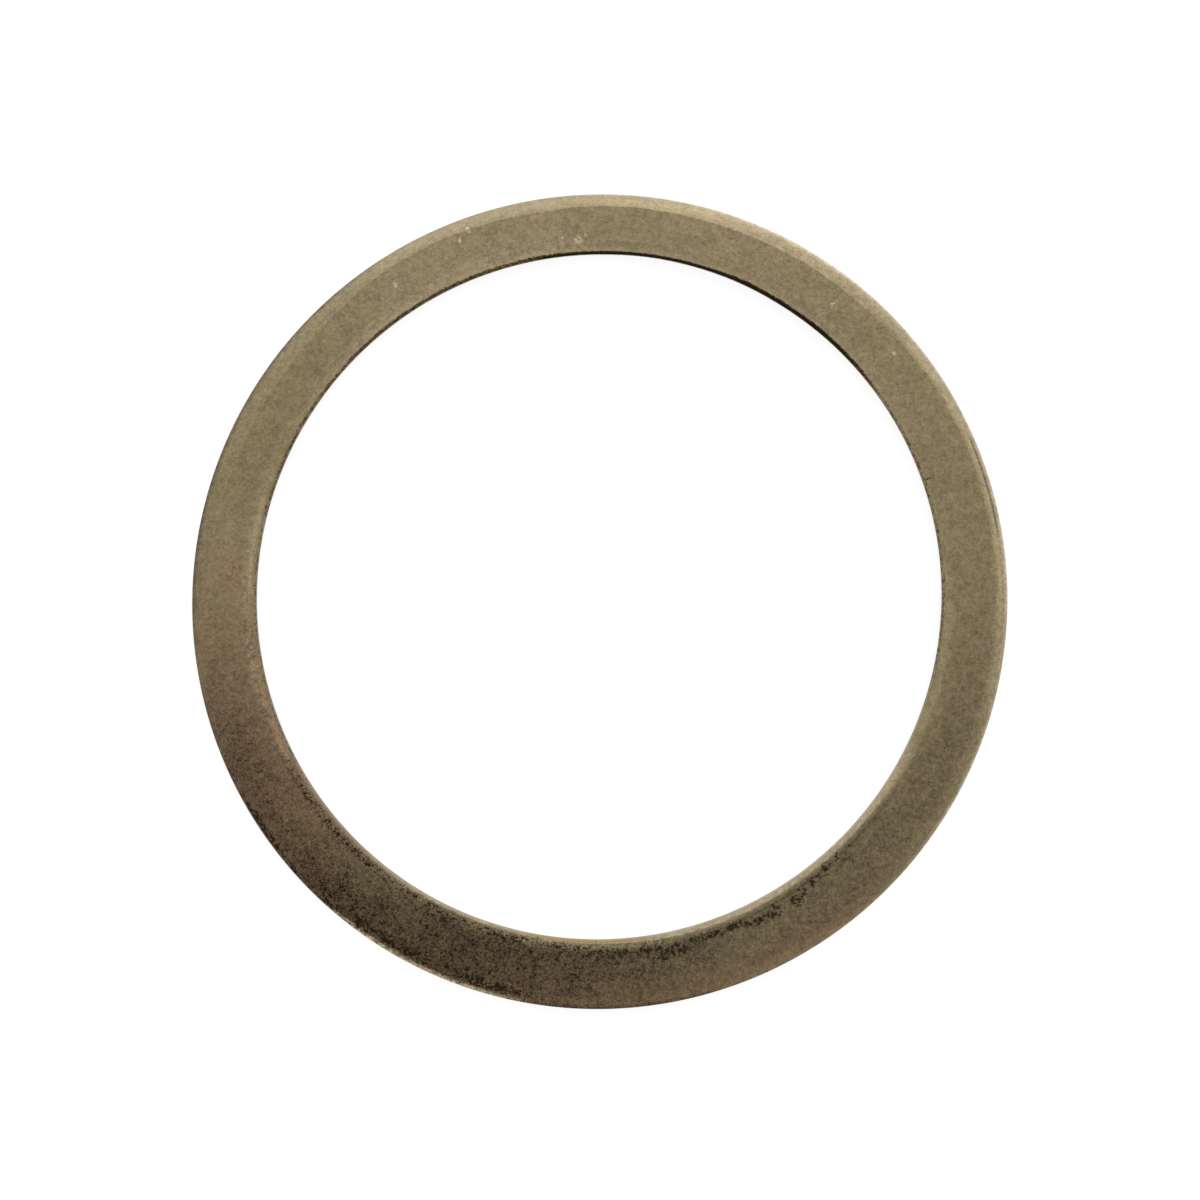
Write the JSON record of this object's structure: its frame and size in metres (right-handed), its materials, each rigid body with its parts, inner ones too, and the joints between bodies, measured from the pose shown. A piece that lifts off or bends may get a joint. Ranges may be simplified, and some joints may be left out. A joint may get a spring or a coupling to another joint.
{
  "type": "washer",
  "caption": "Thin flat ring washer with a wide bore and rolled upper edges, used to space or back a part on a shaft or spigot.",
  "frame": {"origin": "centre of the bore, in the plane of the lower face", "axes": "+Z along the bore axis, out of the upper face with the rolled edges; X and Y lie in the plane of the ring"},
  "size_m": [0.05, 0.05, 0.001],
  "materials": {
    "tarnished_brass": "satin"
  },
  "bodies": {
    "root": {"washer": "tarnished_brass"}
  },
  "joints": []
}
